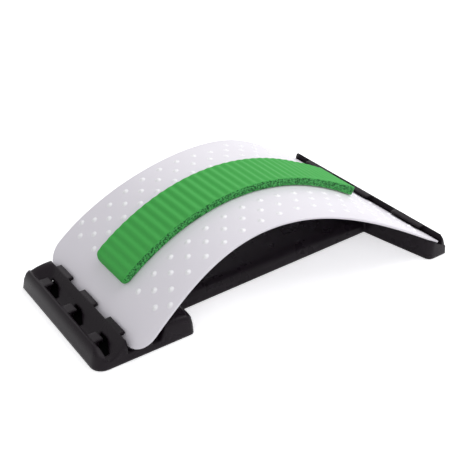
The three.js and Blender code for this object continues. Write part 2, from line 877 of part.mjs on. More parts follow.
function nub(s, y) {
  const levels = [
    [-boardThickness * half, 1],
    [nubHeight * half, nubWaistShare],
    [nubHeight, nubTopShare],
  ];
  return loft(levels.map(([off, share]) => {
    const ring = [];
    const [x, z] = archPoint(s, off);
    for (let i = 0; i < nubSides; i += 1) {
      const angle = i * 2 * Math.PI / nubSides;
      const along = nubRadius * share * Math.cos(angle);
      const across = nubRadius * share * Math.sin(angle);
      const slope = heading(s);
      ring.push([x + along * Math.cos(slope), y + across, z - along * Math.sin(slope)]);
    }
    return ring;
  }));
}

function archBoard() {
  const sheet = loft(boardStations().map((s) => boardRing(s, boardHalfWidth(s))));
  return sheet.add(join(nubPlaces().map(([s, y]) => nub(s, y))));
}

// Foam strip and its adhesive tape

function foamStart() {
  return foamStepMargin - boardStepReach;
}

function foamEnd() {
  return boardFixedReach - foamFixedMargin;
}

// Height of the foam over the board: rounded ribs, the two ends rolled down
function foamHeight(s) {
  const rib = Math.sqrt(Math.abs(Math.sin(Math.PI * (s - foamStart()) / foamRibPitch)));
  const toEnd = Math.min(s - foamStart(), foamEnd() - s);
  const roll = Math.min(Math.max(1 - toEnd / foamEndRound, 0), 1);
  const edge = 2 * (fitGap + tapeThickness);
  const full = foamThickness - foamGrooveDepth * (1 - rib);
  return edge + (full - edge) * Math.sqrt(1 - roll * roll);
}

function foamStrip() {
  const low = 2 * fitGap + tapeThickness;
  const length = foamEnd() - foamStart();
  const ribs = Math.round(length / foamRibPitch);
  const steps = ribs * foamRibSegments;
  const outline = [];
  for (let i = 0; i <= steps; i += 1) {
    const s = foamStart() + length * i / steps;
    outline.push(archPoint(s, foamHeight(s)));
  }
  for (let i = 0; i <= ribs; i += 1) {
    outline.push(archPoint(foamEnd() - length * i / ribs, low));
  }
  return acrossY(outline, -foamHalfWidth, foamHalfWidth);
}

function foamTape() {
  const from = foamStart() + tapeInset;
  const length = foamEnd() - tapeInset - from;
  const steps = Math.round(length / foamRibPitch);
  const top = [];
  const low = [];
  for (let i = 0; i <= steps; i += 1) {
    const s = from + length * i / steps;
    top.push(archPoint(s, fitGap + tapeThickness));
    low.push(archPoint(s, fitGap));
  }
  return acrossY([...top, ...low.reverse()], tapeInset - foamHalfWidth, foamHalfWidth - tapeInset);
}

function footPad([x, y]) {
  return disc(x, y, padRadius, -padProud, padThickness - padProud);
}

const part = new THREE.Group();
part.name = 'arched_back_stretcher';
part.add(meshOf(baseFrame(), 'base_frame', '#2a282b', 0.42));
part.add(meshOf(archBoard(), 'arch_board', '#e9e7ef', 0.5));
part.add(meshOf(foamTape(), 'foam_tape', '#d8d8d4', 0.7));
part.add(meshOf(foamStrip(), 'foam_strip', '#3fb24b', 0.9));
const padNames = ['step_near', 'step_far', 'fixed_near', 'fixed_far'];
padSpots().forEach((spot, i) => {
  part.add(meshOf(footPad(spot), `foot_pad_${padNames[i]}`, '#1c1c1d', 0.85));
});
part.children.forEach((mesh) => {
  mesh.geometry.translate(-overallLength * half, 0, padProud);
});

export default part;
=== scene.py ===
"""Arched back stretcher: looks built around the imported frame.

Metres, +Z up, +X from the adjustable bar to the fixed bar, the part standing on z = 0.
"""
import math

import bpy
import numpy as np
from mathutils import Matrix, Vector


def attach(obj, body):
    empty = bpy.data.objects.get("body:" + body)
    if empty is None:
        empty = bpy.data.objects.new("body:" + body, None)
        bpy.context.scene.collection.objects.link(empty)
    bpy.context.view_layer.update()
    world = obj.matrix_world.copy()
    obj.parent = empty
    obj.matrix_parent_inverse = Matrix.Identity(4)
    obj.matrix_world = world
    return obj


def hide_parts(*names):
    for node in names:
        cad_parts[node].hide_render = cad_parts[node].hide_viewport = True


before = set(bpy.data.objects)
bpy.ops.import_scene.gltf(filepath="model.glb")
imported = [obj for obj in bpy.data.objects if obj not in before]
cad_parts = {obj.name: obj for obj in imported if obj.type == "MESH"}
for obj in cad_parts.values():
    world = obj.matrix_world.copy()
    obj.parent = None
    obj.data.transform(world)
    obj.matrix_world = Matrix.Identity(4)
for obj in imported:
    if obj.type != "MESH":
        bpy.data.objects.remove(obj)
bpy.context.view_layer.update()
MM = 0.001


# Camera
# A short telephoto over the adjustable bar's near corner, found by fitting the nub rows
# and the base's straight edges.
AIM = Vector((34.66, 46.96, 1.0)) * MM
BACK = Vector((-0.4922, -0.6929, 0.5270)).normalized()
DISTANCE = 899.07 * MM
FOCAL_PIXELS = 811.77
IMAGE_PIXELS = 460
SENSOR = 36.0

camera_data = bpy.data.cameras.new("camera")
camera_data.sensor_width = SENSOR
camera_data.lens = FOCAL_PIXELS / IMAGE_PIXELS * SENSOR
camera_data.clip_start = 0.01
camera = bpy.data.objects.new("camera", camera_data)
camera.location = AIM + BACK * DISTANCE
camera.rotation_euler = (-BACK).to_track_quat("-Z", "Y").to_euler()
bpy.context.scene.collection.objects.link(camera)
bpy.context.scene.camera = camera


# Floor and light
# A white sheet under the part with nothing else round it. The key is a broad soft box
# beyond the fixed end, which leaves the board's other slope in half shade. Two weak ones
# by the camera and behind the part, and a pale room, fill the rest. Under the adjustable
# bar the sheet has painted shade, a dark colour and no glow, so that no lit floor shows
# through the bar's openings.
FLOOR_REACH = 6.0
FLOOR_HEX = "#f4f4f5"
FLOOR_GLOW = 0.6
# Painted shade: the paper's dark colour in a box under the adjustable bar, where the floor lies in shade.
PAINTED_SHADE_FLOOR_HEX = "#1a1a1b"
PAINTED_SHADE_CENTRE = (-0.146, 0.0, 0.0)
PAINTED_SHADE_REACH = (0.046, 0.072)
ROOM_HEX = "#ffffff"
ROOM_STRENGTH = 0.47
LIGHT_AIM = (0.0, 0.0, 0.05)


def linear(hex_colour):
    """Linear RGBA of an sRGB hex colour: each channel through the sRGB curve."""
    channels = [int(hex_colour[i:i + 2], 16) / 255 for i in (1, 3, 5)]
    return [c / 12.92 if c <= 0.04045 else ((c + 0.055) / 1.055) ** 2.4 for c in channels] + [1.0]


def add_node(tree, kind, links=None, **settings):
    """Adds a node, sets its properties or inputs by name, and links inputs to sockets."""
    node = tree.nodes.new(kind)
    for name, value in settings.items():
        if hasattr(node, name):
            setattr(node, name, value)
        else:
            node.inputs[name.replace("_", " ")].default_value = value
    for name, socket in (links or {}).items():
        tree.links.new(socket, node.inputs[name])
    return node


def new_material(name):
    """An empty node material and its tree."""
    material = bpy.data.materials.new(name)
    material.use_nodes = True
    material.node_tree.nodes.clear()
    return material, material.node_tree


def mesh_object(name, points, faces, sharp_angle=30):
    """An object at the origin, shaded smooth where its faces meet below the angle in degrees."""
    mesh = bpy.data.meshes.new(name)
    mesh.from_pydata(np.asarray(points).tolist(), [], faces)
    mesh.polygons.foreach_set("use_smooth", [True] * len(mesh.polygons))
    mesh.set_sharp_from_angle(angle=math.radians(sharp_angle))
    mesh.update()
    piece = bpy.data.objects.new(name, mesh)
    bpy.context.scene.collection.objects.link(piece)
    return piece


def seen_or_mirrored(tree):
    """1 on rays from the camera and on reflected or refracted ones, 0 on all that light the part."""
    ray = add_node(tree, "ShaderNodeLightPath")
    glossy_or_clear = {0: ray.outputs["Is Glossy Ray"], 1: ray.outputs["Is Transmission Ray"]}
    bounced = add_node(tree, "ShaderNodeMath", glossy_or_clear, operation="MAXIMUM")
    either = {0: bounced.outputs[0], 1: ray.outputs["Is Camera Ray"]}
    return add_node(tree, "ShaderNodeMath", either, operation="MAXIMUM").outputs[0]


def matt_white_paper():
    """White paper that glows where it is seen, but has painted shade under the adjustable bar: a dark
    colour and no glow.
    """
    material, tree = new_material("matt_white_paper")
    place = add_node(tree, "ShaderNodeTexCoord").outputs["Object"]
    shifted = add_node(tree, "ShaderNodeVectorMath", {0: place}, operation="SUBTRACT")
    shifted.inputs[1].default_value = PAINTED_SHADE_CENTRE
    away = add_node(tree, "ShaderNodeVectorMath", {0: shifted.outputs[0]}, operation="ABSOLUTE")
    split = add_node(tree, "ShaderNodeSeparateXYZ", {0: away.outputs[0]})
    beyond_x = add_node(tree, "ShaderNodeMath", {0: split.outputs["X"]}, operation="GREATER_THAN")
    beyond_x.inputs[1].default_value = PAINTED_SHADE_REACH[0]
    beyond_y = add_node(tree, "ShaderNodeMath", {0: split.outputs["Y"]}, operation="GREATER_THAN")
    beyond_y.inputs[1].default_value = PAINTED_SHADE_REACH[1]
    beyond = {0: beyond_x.outputs[0], 1: beyond_y.outputs[0]}
    outside = add_node(tree, "ShaderNodeMath", beyond, operation="MAXIMUM")
    seen_outside = {0: outside.outputs[0], 1: seen_or_mirrored(tree)}
    glows = add_node(tree, "ShaderNodeMath", seen_outside, operation="MULTIPLY")
    strength = add_node(tree, "ShaderNodeMath", {0: glows.outputs[0]}, operation="MULTIPLY")
    strength.inputs[1].default_value = FLOOR_GLOW
    # Painted shade: inside the box under the adjustable bar the paper is dark and does not glow.
    shade = add_node(tree, "ShaderNodeMix", {"Factor": outside.outputs[0]}, data_type="RGBA")
    shade.inputs["A"].default_value = linear(PAINTED_SHADE_FLOOR_HEX)
    shade.inputs["B"].default_value = linear(FLOOR_HEX)
    paper = add_node(tree, "ShaderNodeBsdfDiffuse", {"Color": shade.outputs["Result"]})
    glow = add_node(tree, "ShaderNodeEmission", {"Strength": strength.outputs[0]})
    glow.inputs["Color"].default_value = linear(FLOOR_HEX)
    both = add_node(tree, "ShaderNodeAddShader", {0: paper.outputs[0], 1: glow.outputs[0]})
    add_node(tree, "ShaderNodeOutputMaterial", {"Surface": both.outputs[0]})
    return material


def soft_box(name, place, size, watts):
    """A white square area light at place, turned towards the middle of the part."""
    data = bpy.data.lights.new(name, "AREA")
    data.size = size
    data.energy = watts
    lamp = bpy.data.objects.new(name, data)
    lamp.location = place
    lamp.rotation_euler = (Vector(LIGHT_AIM) - Vector(place)).to_track_quat("-Z", "Y").to_euler()
    bpy.context.scene.collection.objects.link(lamp)


world = bpy.data.worlds.new("pale_room")
world.use_nodes = True
walls = world.node_tree
room = walls.nodes["Background"]
room.inputs["Color"].default_value = linear(ROOM_HEX)
seen = seen_or_mirrored(walls)
white_if_seen = add_node(walls, "ShaderNodeMapRange", {"Value": seen}, To_Min=ROOM_STRENGTH)
walls.links.new(white_if_seen.outputs["Result"], room.inputs["Strength"])
bpy.context.scene.world = world
bpy.context.scene.view_settings.view_transform = "Standard"

floor_square = np.array([(-1, -1, 0), (1, -1, 0), (1, 1, 0), (-1, 1, 0)]) * FLOOR_REACH
floor = mesh_object("floor_sheet", floor_square, [(0, 1, 2, 3)])
floor.data.materials.append(matt_white_paper())

soft_box("key_beyond_fixed_end", (0.98, -0.27, 1.27), size=1.4, watts=15.5)
soft_box("fill_by_camera", (-0.98, -0.98, 0.80), size=1.0, watts=3.5)
soft_box("glow_behind", (0.96, 1.32, 0.96), size=1.6, watts=3.0)


# Base
# One hollow moulding of black ABS with a satin face, from a spark-eroded mould. Its
# edges are a little rounded, as such mouldings leave the tool.
BASE_HEX = "#191219"
BASE_EDGE_RADIUS = 3.5 * MM
BASE_SHARP_ANGLE = 32
MICROMETRE = 0.001 * MM
# A coarse spark-eroded grain, which shows in close views only.
BASE_GRAIN = 0.35 * MM
# How far apart the slightly duller patches of the face lie.
BASE_CLOUD = 18 * MM


def satin_black_abs():
    """Black ABS: a fine even grain under a soft sheen that catches broad highlights."""
    material, tree = new_material("satin_black_abs")
    place = add_node(tree, "ShaderNodeTexCoord").outputs["Object"]
    cloudy = add_node(tree, "ShaderNodeTexNoise", {"Vector": place}, Scale=1 / BASE_CLOUD, Detail=3.0)
    grain = add_node(tree, "ShaderNodeTexNoise", {"Vector": place}, Scale=1 / BASE_GRAIN, Detail=2.0)
    rough = add_node(tree, "ShaderNodeMapRange", {"Value": cloudy.outputs["Fac"]})
    rough.inputs["To Min"].default_value = 0.24
    rough.inputs["To Max"].default_value = 0.32
    edge = add_node(tree, "ShaderNodeBevel", samples=6, Radius=BASE_EDGE_RADIUS)
    bump = add_node(
        tree,
        "ShaderNodeBump",
        {"Height": grain.outputs["Fac"], "Normal": edge.outputs["Normal"]},
        Strength=0.12,
        Distance=0.05 * MM,
    )
    shell = add_node(
        tree,
        "ShaderNodeBsdfPrincipled",
        {"Roughness": rough.outputs["Result"], "Normal": bump.outputs["Normal"]},
        Base_Color=linear(BASE_HEX),
        IOR=1.53,
        Specular_IOR_Level=0.13,
    )
    add_node(tree, "ShaderNodeOutputMaterial", {"Surface": shell.outputs[0]})
    return material


def mesh_points(mesh):
    """A mesh's corners, n x 3."""
    points = np.empty(len(mesh.vertices) * 3)
    mesh.vertices.foreach_get("co", points)
    return points.reshape(-1, 3)


def merged_copy(node, name, sharp_angle):
    """A node's mesh with its loose triangles joined where their corners agree to a micrometre."""
    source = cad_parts[node].data
    corners = mesh_points(source)
    faces = np.empty(len(source.loops), dtype=np.int64)
    source.loops.foreach_get("vertex_index", faces)
    snapped = np.round(corners / MICROMETRE).astype(np.int64)
    _, first, joined = np.unique(snapped, axis=0, return_index=True, return_inverse=True)
    faces = joined.ravel()[faces].reshape(-1, 3)
    whole = (faces != np.roll(faces, 1, axis=1)).all(axis=1)
    return mesh_object(name, corners[first], faces[whole].tolist(), sharp_angle)


# The rim round the board's fixed end. The frame's rim falls over its last 13 mm; the real
# one keeps its height nearly to its ends.
RIM_FRONT = 187.5 * MM
RIM_REACH = 120.8 * MM
RIM_FOOT = 4 * MM
RIM_END_SHARE = 0.42
FRAME_END_ROUND = 13 * MM
RIM_END_ROUND = 4 * MM
RIM_FIXED_HEIGHT = 10 * MM
RIM_MOVED_HEIGHT = 14 * MM


def rim_rise(y, round_over):
    """Share of the rim's height at y: a quarter ellipse down to the end share over the last length."""
    into = np.clip((np.abs(y) - RIM_REACH + round_over) / round_over, 0, 1)
    return RIM_END_SHARE + (1 - RIM_END_SHARE) * np.sqrt(1 - into ** 2)


def fill_rim_ends(points):
    """Raises the rim's top near its ends: each height is divided by one rise and times the other.

    Points below the fixed height stay, and those over the moved height go all the way.
    """
    x, y, z = points.T
    rise = rim_rise(y, FRAME_END_ROUND)
    unrolled = (z - RIM_FOOT) / rise
    share = np.clip((unrolled - RIM_FIXED_HEIGHT) / (RIM_MOVED_HEIGHT - RIM_FIXED_HEIGHT), 0, 1)
    on_rim = (x > RIM_FRONT) & (np.abs(y) <= RIM_REACH)
    points[:, 2] = z + np.where(on_rim, unrolled * share * (rim_rise(y, RIM_END_ROUND) - rise), 0)


# X and Z of the three lower corners of a retaining tab's tip, in the frame and here.
TAB_TIP = np.array([(180.4, 20.5), (179.3, 21.6), (179.3, 22.55)]) * MM
SLOPED_TIP = np.array([(182.05, 20.5), (180.1, 22.35), (179.9, 22.75)]) * MM
TIP_SEARCH = 0.05 * MM


def slope_tab_tips(points):
    """Moves the tabs' lower tip corners, so that the board has room under them at its full lift."""
    apart = np.linalg.norm(points[:, None, ::2] - TAB_TIP, axis=2)
    found = apart.min(axis=1) < TIP_SEARCH
    points[found, ::2] = SLOPED_TIP[apart.argmin(axis=1)[found]]


base = merged_copy("base_frame", "base_moulding", BASE_SHARP_ANGLE)
base_points = mesh_points(base.data)
fill_rim_ends(base_points)
slope_tab_tips(base_points)
base.data.vertices.foreach_set("co", base_points.ravel())
base.data.update()
base.data.materials.append(satin_black_abs())
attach(base, "base")
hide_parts("base_frame")


# Foot pads
# Four discs of soft black rubber, punched from a sheet. They are glued into shallow
# recesses under the two bars and stand a little proud of them.
PAD_HEX = "#171717"
PAD_GRAIN = 0.8 * MM


def dull_rubber():
    """Black rubber: almost no sheen and a faint unevenness."""
    material, tree = new_material("dull_black_rubber")
    place = add_node(tree, "ShaderNodeTexCoord").outputs["Object"]
    uneven = add_node(tree, "ShaderNodeTexNoise", {"Vector": place}, Scale=1 / PAD_GRAIN, Detail=2.0)
    bump = add_node(tree, "ShaderNodeBump", {"Height": uneven.outputs["Fac"]}, Strength=0.2)
    bump.inputs["Distance"].default_value = 0.05 * MM
    body = add_node(tree, "ShaderNodeBsdfPrincipled", {"Normal": bump.outputs["Normal"]}, Roughness=0.82)
    body.inputs["Base Color"].default_value = linear(PAD_HEX)
    add_node(tree, "ShaderNodeOutputMaterial", {"Surface": body.outputs[0]})
    return material


rubber = dull_rubber()
for node_name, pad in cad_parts.items():
    if node_name.startswith("foot_pad"):
        pad.data.materials.clear()
        pad.data.materials.append(rubber)


# Board
# A springy sheet of white polypropylene with small domes moulded on its upper face in
# staggered rows. Its adjustable end stands in a groove and its other end in the seat.
THICKNESS = 2.2 * MM
CREST = (0.97 * MM, 90.30 * MM)
CREST_RADIUS = 195.20 * MM
BEND_SPAN = 183.90 * MM
BEND_FADE = 0.88
BEND_SKEW = -0.243
STEP_REACH = 188.10 * MM
FIXED_REACH = 204.0 * MM
END_BOW = 2.8 * MM
STEP_CORNER = 22 * MM
FIXED_CORNER = 5 * MM
EDGE_ROUND = 0.7 * MM
END_HALF_WIDTH = 118.6 * MM
END_TIP_SHARE = 0.1
BOARD_SHARP_ANGLE = 50
EDGE_ANGLES = (30, 60, 90)
TOP_POINTS = 13
CORNER_ROWS = 25
END_ROWS = 9
LENGTH_ROWS = 190
ARCH_STEPS = 4001
ARCH_MARGIN = 1.1
# Half widths at even places from the adjustable end to the fixed end, over the latter's.
WIDTH_SHARES = np.array([
    0.794, 0.794, 0.777, 0.753, 0.734, 0.726, 0.736, 0.766,
    0.813, 0.875, 0.936, 0.980, 0.997, 1.002, 1.000,
])
BOARD_HEX = "#e8e4ec"
BOARD_PALE_HEX = "#ebe8f0"
# Painted highlight: the nubs' whiter colour, strongest at their middles.
NUB_HIGHLIGHT_HEX = "#fcfbff"
BOARD_CLOUD = 40 * MM
# A faint orange peel, which shows in close views only.
BOARD_GRAIN = 0.5 * MM
NUB_LAYER = "nub_gloss_and_highlight"


def heading(s):
    """Slope angle of the board at s along it: the sum of a bend that fades towards the ends.

    The bend at s is 1 + skew * t - fade * t squared over the crest's radius, t being s over the span.
    """
    skewed = BEND_SKEW * s ** 2 / (2 * BEND_SPAN)
    faded = BEND_FADE * s ** 3 / (3 * BEND_SPAN ** 2)
    return (s + skewed - faded) / CREST_RADIUS


def arch(s, off):
    """X and Z at s along the board and off over its top: the heading summed from the crest."""
    fine = np.linspace(-STEP_REACH * ARCH_MARGIN, FIXED_REACH * ARCH_MARGIN, ARCH_STEPS)
    step = fine[1] - fine[0]
    middle = heading((fine[1:] + fine[:-1]) / 2)
    x = np.concatenate([[0], np.cumsum(np.cos(middle))]) * step
    z = -np.concatenate([[0], np.cumsum(np.sin(middle))]) * step
    x += CREST[0] - np.interp(0, fine, x)
    z += CREST[1] - np.interp(0, fine, z)
    angle = heading(s)
    return np.interp(s, fine, x) + off * np.sin(angle), np.interp(s, fine, z) + off * np.cos(angle)


def on_arch(s, y, off):
    """Points (... x 3) at s along the board, y across it and off over its top."""
    x, z = arch(s, off)
    return np.stack(np.broadcast_arrays(x, y, z), -1)


def rounding(into, radius):
    """What a quarter circle takes off an edge at the distance into from its end."""
    return radius - np.sqrt(np.maximum(radius ** 2 - np.maximum(radius - into, 0) ** 2, 0))


def plain_half_width(s):
    """Half width before the corners: cubics through even places, with slopes from their neighbours."""
    last = len(WIDTH_SHARES) - 1
    at = np.clip((s + STEP_REACH) / (STEP_REACH + FIXED_REACH) * last, 0, last)
    i = np.minimum(at.astype(int), last - 1)
    t = at - i
    before, start = WIDTH_SHARES[np.maximum(i - 1, 0)], WIDTH_SHARES[i]
    end, after = WIDTH_SHARES[i + 1], WIDTH_SHARES[np.minimum(i + 2, last)]
    slope, next_slope = (end - before) / 2, (after - start) / 2
    cubic = 2 * (start - end) + slope + next_slope
    square = 3 * (end - start) - 2 * slope - next_slope
    return END_HALF_WIDTH * (((cubic * t + square) * t + slope) * t + start)


def half_width(s):
    """Half width with quarter-circle corners taken off and the bowed end closed."""
    plain = plain_half_width(s)
    step_corner = rounding(s + STEP_REACH - END_BOW, STEP_CORNER)
    fixed_corner = rounding(FIXED_REACH - s, FIXED_CORNER)
    share = np.clip((s + STEP_REACH) / END_BOW, 0, 1)
    bowed = (plain - STEP_CORNER) * (END_TIP_SHARE + (1 - END_TIP_SHARE) * np.sqrt(share))
    return np.where(s < END_BOW - STEP_REACH, bowed, plain - step_corner - fixed_corner)


def grid_faces(rows, columns):
    """Quads between rows of points that each close on themselves."""
    r, c = np.meshgrid(np.arange(rows - 1), np.arange(columns), indexing="ij")
    after = (c + 1) % columns
    here, ahead = r * columns, (r + 1) * columns
    return np.stack([here + c, ahead + c, ahead + after, here + after], -1).reshape(-1, 4)


def closed_skin(points):
    """Points and faces of rows of rings (rows x ring x 3), flat at both ends."""
    rows, count = points.shape[:2]
    ends = [list(range(count)), list(range(rows * count - 1, (rows - 1) * count - 1, -1))]
    return points.reshape(-1, 3), grid_faces(rows, count).tolist() + ends


def board_sheet():
    """At each place along the board, a ring with a flat top and underside and rounded edges."""
    bowed_end = END_BOW - STEP_REACH
    turn = np.linspace(0, math.pi / 2, CORNER_ROWS)
    s = np.concatenate([
        -STEP_REACH + END_BOW * np.linspace(0, 1, END_ROWS)[:-1] ** 2,
        bowed_end + STEP_CORNER * (1 - np.cos(turn[:-1])),
        np.linspace(bowed_end + STEP_CORNER, FIXED_REACH - FIXED_CORNER, LENGTH_ROWS)[:-1],
        FIXED_REACH - FIXED_CORNER + FIXED_CORNER * np.sin(turn),
    ])
    bend = np.radians(EDGE_ANGLES)
    curve_in = 1 - np.sin(bend)
    curve_down = EDGE_ROUND * (1 - np.cos(bend))
    side = np.concatenate([np.linspace(-1, 1, TOP_POINTS), np.ones(2 * len(bend))])
    inset = np.concatenate([np.ones(TOP_POINTS), curve_in, curve_in[::-1]])
    drop = np.concatenate([np.zeros(TOP_POINTS), curve_down, THICKNESS - curve_down[::-1]])
    both_sides = np.concatenate([side, -side])
    both_drops = np.concatenate([drop, THICKNESS - drop])
    y = both_sides * (half_width(s)[:, None] - np.tile(inset, 2) * EDGE_ROUND)
    return closed_skin(on_arch(s[:, None], y, -both_drops))


NUB_PITCH = 21.28 * MM
NUB_PHASE = 0.223
NUB_ROW_PITCH = 14.8 * MM
FIRST_NUB_ROW = 13.6 * MM
NUB_ROWS = 8
NUB_RADIUS = 3.4 * MM
NUB_HEIGHT = 1.35 * MM
NUB_MARGIN = 9 * MM
CORNER_NUB_MARGIN = 7.5 * MM
FIRST_NUB = -150.1 * MM
LAST_NUB = 190.0 * MM
# The rows nearer the middle than this lie under the foam and show only past its fixed end.
MIDDLE_ROWS = 34.5 * MM
MIDDLE_NUBS = 153.3 * MM
NUB_SIDES = 12
# A nub's middle and rings: their distance over its radius, and how far each takes the nubs' gloss and
# painted highlight.
NUB_RINGS = np.array([0, 0.3, 0.62, 1, 1])
NUB_GLOSS_AND_HIGHLIGHT = (1.0, 1.0, 1.0, 0.4, 0.0)


def nub_places():
    """Rows along the arch, every other row half a pitch on, clear of the foam and the edges."""
    reach = math.ceil(FIXED_REACH / NUB_PITCH)
    row, i = np.meshgrid(np.arange(NUB_ROWS), np.arange(-reach, reach + 1), indexing="ij")
    y = FIRST_NUB_ROW + row * NUB_ROW_PITCH
    s = (i + NUB_PHASE + (row % 2) / 2) * NUB_PITCH
    inside = (s > FIRST_NUB) & (s < LAST_NUB) & (y < half_width(s) - NUB_MARGIN)
    bare = (y > MIDDLE_ROWS) | (s > MIDDLE_NUBS)
    corner_s = (math.ceil(FIRST_NUB / NUB_PITCH) + 0.5 + NUB_PHASE) * NUB_PITCH
    corner_y = half_width(np.array([corner_s])) - CORNER_NUB_MARGIN
    s = np.concatenate([s[inside & bare], [corner_s]])
    y = np.concatenate([y[inside & bare], corner_y])
    return np.concatenate([np.stack([s, y], -1), np.stack([s, -y], -1)])


def nub_domes(places, first):
    """Bell-shaped domes: height falls as a raised cosine from the middle to a sunk rim.

    Returns points, faces that count them from first, and how far each point takes the nubs' gloss and
    painted highlight.
    """
    lift = NUB_HEIGHT * (1 + np.cos(math.pi * NUB_RINGS)) / 2
    lift[-1] = -THICKNESS / 2
    angle = np.linspace(0, 2 * math.pi, NUB_SIDES, endpoint=False)
    radius = NUB_RADIUS * NUB_RINGS[:, None]
    s = places[:, 0, None, None] + radius * np.cos(angle)
    y = places[:, 1, None, None] + radius * np.sin(angle)
    rings = on_arch(s, y, lift[:, None])
    tops = rings[:, 0, :1]
    points = np.concatenate([tops, rings[:, 1:].reshape(len(places), -1, 3)], 1)
    ring = np.arange(NUB_SIDES)
    fan = np.stack([0 * ring, ring + 1, (ring + 1) % NUB_SIDES + 1], -1)
    walls = grid_faces(len(NUB_RINGS) - 1, NUB_SIDES) + 1
    under = (points.shape[1] - 1 - ring)[None]
    starts = first + np.arange(len(places))[:, None, None] * points.shape[1]
    faces = [(starts + kind).reshape(-1, kind.shape[1]).tolist() for kind in (fan, walls, under)]
    white = np.concatenate([NUB_GLOSS_AND_HIGHLIGHT[:1], np.repeat(NUB_GLOSS_AND_HIGHLIGHT[1:], NUB_SIDES)])
    return points.reshape(-1, 3), sum(faces, []), np.tile(white, len(places))


def white_polypropylene():
    """White polypropylene: waxy and slightly cloudy, with glossier nubs whose whiter colour is a painted
    highlight.
    """
    material, tree = new_material("white_polypropylene")
    place = add_node(tree, "ShaderNodeTexCoord").outputs["Object"]
    cloudy = add_node(tree, "ShaderNodeTexNoise", {"Vector": place}, Scale=1 / BOARD_CLOUD, Detail=2.0)
    tint = add_node(tree, "ShaderNodeMix", {"Factor": cloudy.outputs["Fac"]}, data_type="RGBA")
    tint.inputs["A"].default_value = linear(BOARD_HEX)
    tint.inputs["B"].default_value = linear(BOARD_PALE_HEX)
    nub = add_node(tree, "ShaderNodeAttribute", attribute_name=NUB_LAYER).outputs["Fac"]
    highlighted = {"Factor": nub, "A": tint.outputs["Result"]}
    # Painted highlight: the nubs are mixed towards a whiter colour.
    colour = add_node(tree, "ShaderNodeMix", highlighted, data_type="RGBA")
    colour.inputs["B"].default_value = linear(NUB_HIGHLIGHT_HEX)
    sheen = add_node(tree, "ShaderNodeMapRange", {"Value": nub}, To_Min=0.42, To_Max=0.26)
    grain = add_node(tree, "ShaderNodeTexNoise", {"Vector": place}, Scale=1 / BOARD_GRAIN, Detail=2.0)
    bump = add_node(tree, "ShaderNodeBump", {"Height": grain.outputs["Fac"]}, Strength=0.06)
    bump.inputs["Distance"].default_value = 0.05 * MM
    body = add_node(
        tree,
        "ShaderNodeBsdfPrincipled",
        {
            "Base Color": colour.outputs["Result"],
            "Roughness": sheen.outputs["Result"],
            "Normal": bump.outputs["Normal"],
        },
        IOR=1.49,
    )
    add_node(tree, "ShaderNodeOutputMaterial", {"Surface": body.outputs[0]})
    return material


sheet_points, sheet_faces = board_sheet()
dome_points, dome_faces, dome_gloss_and_highlight = nub_domes(nub_places(), len(sheet_points))
board_points = np.concatenate([sheet_points, dome_points])
board = mesh_object("nubbed_board", board_points, sheet_faces + dome_faces, BOARD_SHARP_ANGLE)
# How glossy each point is, and how far it takes the nubs' painted highlight.
nub_gloss_and_highlight = np.concatenate([np.zeros(len(sheet_points)), dome_gloss_and_highlight])
board.data.attributes.new(NUB_LAYER, "FLOAT", "POINT").data.foreach_set("value", nub_gloss_and_highlight)
board.data.materials.append(white_polypropylene())
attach(board, "board")
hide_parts("arch_board")


# Adhesive tape
# A thin sheet of white double-sided paper tape, cut a little smaller than the foam. It
# holds the foam on the board and is hidden between the two.
TAPE_HEX = "#d9d9d4"
TAPE_FIBRE = 1.2 * MM


def paper_tape():
    """Double-sided tape: a matt paper film, faintly mottled by its fibres."""
    material, tree = new_material("adhesive_paper_tape")
    place = add_node(tree, "ShaderNodeTexCoord").outputs["Object"]
    fibres = add_node(tree, "ShaderNodeTexNoise", {"Vector": place}, Scale=1 / TAPE_FIBRE, Detail=3.0)
    matt = add_node(tree, "ShaderNodeMapRange", {"Value": fibres.outputs["Fac"]}, To_Min=0.5, To_Max=0.7)
    film = add_node(tree, "ShaderNodeBsdfPrincipled", {"Roughness": matt.outputs["Result"]})
    film.inputs["Base Color"].default_value = linear(TAPE_HEX)
    add_node(tree, "ShaderNodeOutputMaterial", {"Surface": film.outputs[0]})
    return material


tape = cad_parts["foam_tape"]
tape.data.materials.clear()
tape.data.materials.append(paper_tape())


# Foam strip
# A strip of green closed-cell foam. Its skinned top is formed into ribs and rolls down
# at both ends, its corners are rounded, and its sides are cut square through the cells.
FOAM_START = -148.5 * MM
FOAM_END = 155.5 * MM
RIB_PITCH = 9.076 * MM
FOAM_ROWS = 462
FOAM_HALF_WIDTH = 27.1 * MM
FOAM_LOW = 1.2 * MM
FOAM_TOP = 9.4 * MM
GROOVE_DEPTH = 1.15 * MM
GROOVE_EDGE_SHARE = 0.35
STEP_END_ROLL = 10 * MM
FIXED_END_ROLL = 6 * MM
SWELL = 1.7 * MM
SWELL_LENGTH = 50 * MM
END_LIP = 1.0 * MM
FOAM_CORNER = 7 * MM
FOAM_EDGE = 0.9 * MM
LEAN_LENGTH = 28 * MM
END_LEAN = 3 * MM
CORNER_TURNS = 13
SIDE_POINTS = 5
TOP_COLUMNS = np.array([-0.95, -0.65, -0.3, 0, 0.3, 0.65, 0.95])
UNDER_COLUMNS = np.array([0.5, 0, -0.5])
FOAM_SHARP_ANGLE = 50
FOAM_TOP_HEX = "#42a94c"
FOAM_CUT_HEX = "#4cb058"
FOAM_CELL_HEX = "#115424"
# Real cells are under half a millimetre and would not show; they are drawn coarser.
FOAM_CELL = 1.2 * MM


